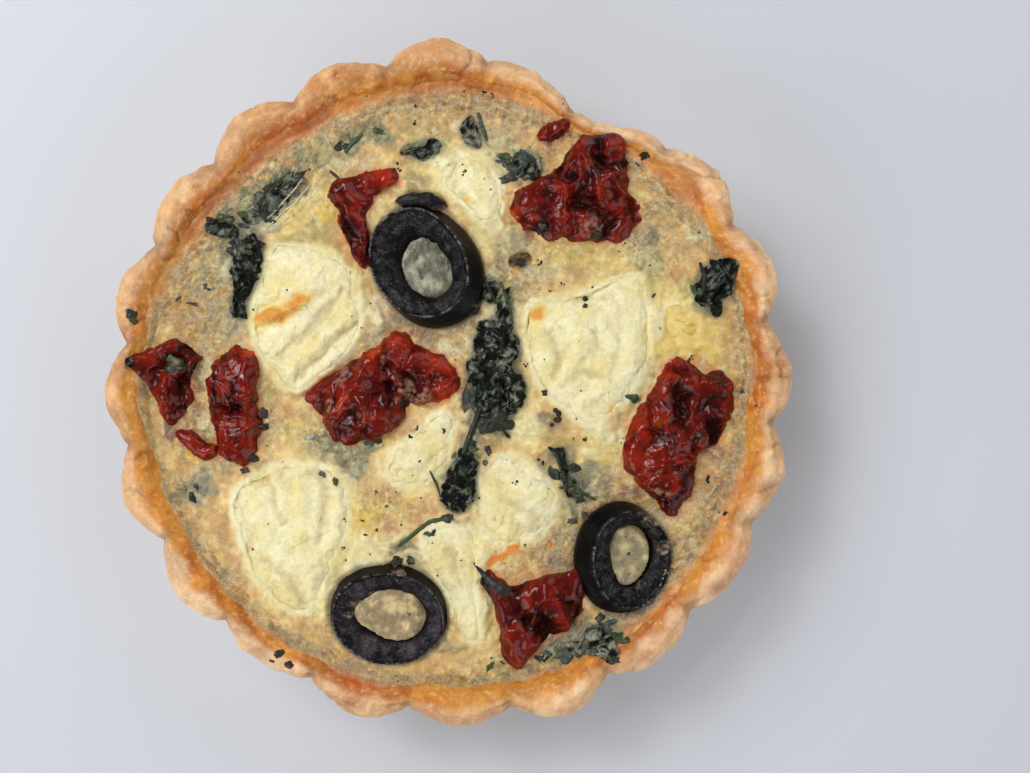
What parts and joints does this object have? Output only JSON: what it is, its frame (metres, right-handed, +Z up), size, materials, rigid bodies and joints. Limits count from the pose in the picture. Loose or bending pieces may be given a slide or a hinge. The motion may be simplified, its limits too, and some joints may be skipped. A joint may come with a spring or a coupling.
{
  "type": "quiche",
  "caption": "Small round quiche baked in a fluted shortcrust case, with set custard, soft cheese, dried tomato, rings of black olive, spinach and pepper.",
  "frame": {"origin": "middle of the object's bounding box seen from above, on the surface that it stands on", "axes": "+Z up out of the filling; +X to the side where the large dried tomato lies alone by the rim, between the small leaf and an olive; +Y towards the side where the rim is worn down"},
  "size_m": [0.1064, 0.1064, 0.0277],
  "materials": {
    "crust": "baked shortcrust, dry and grainy, glossier where the custard has run on it",
    "custard": "baked egg custard with a fine wrinkled, slightly oily skin",
    "cheese": "soft white cheese, smooth and moist, browned in spots",
    "tomato": "dried tomato, leathery, wrinkled and oily",
    "olive": "black olive, satin flesh and glossy skin",
    "spinach": "cooked spinach leaf, wet and crumpled",
    "pepper": "coarse black pepper"
  },
  "bodies": {
    "root": {"crust": "crust", "olive_top": "olive", "olive_bottom_left": "olive", "olive_bottom_right": "olive", "olive_sliver": "olive", "olive_scrap": "olive", "tomato_top_right": "tomato", "tomato_scrap": "tomato", "tomato_upper_left": "tomato", "tomato_middle": "tomato", "tomato_far_left": "tomato", "tomato_left": "tomato", "tomato_link": "tomato", "tomato_right": "tomato", "tomato_bottom": "tomato", "spinach_middle": "spinach", "spinach_lower": "spinach", "spinach_top_left": "spinach", "spinach_edge_left": "spinach", "spinach_left": "spinach", "spinach_top": "spinach", "spinach_top_middle": "spinach", "spinach_by_olive": "spinach", "spinach_top_right": "spinach", "spinach_right": "spinach", "spinach_lower_right": "spinach", "spinach_bottom": "spinach", "cheese_upper_left": "cheese", "cheese_right": "cheese", "cheese_lower_left": "cheese", "cheese_lower_middle": "cheese", "cheese_middle": "cheese", "cheese_bottom": "cheese", "cheese_top": "cheese", "cheese_far_right": "cheese", "filling": "custard"}
  },
  "joints": []
}
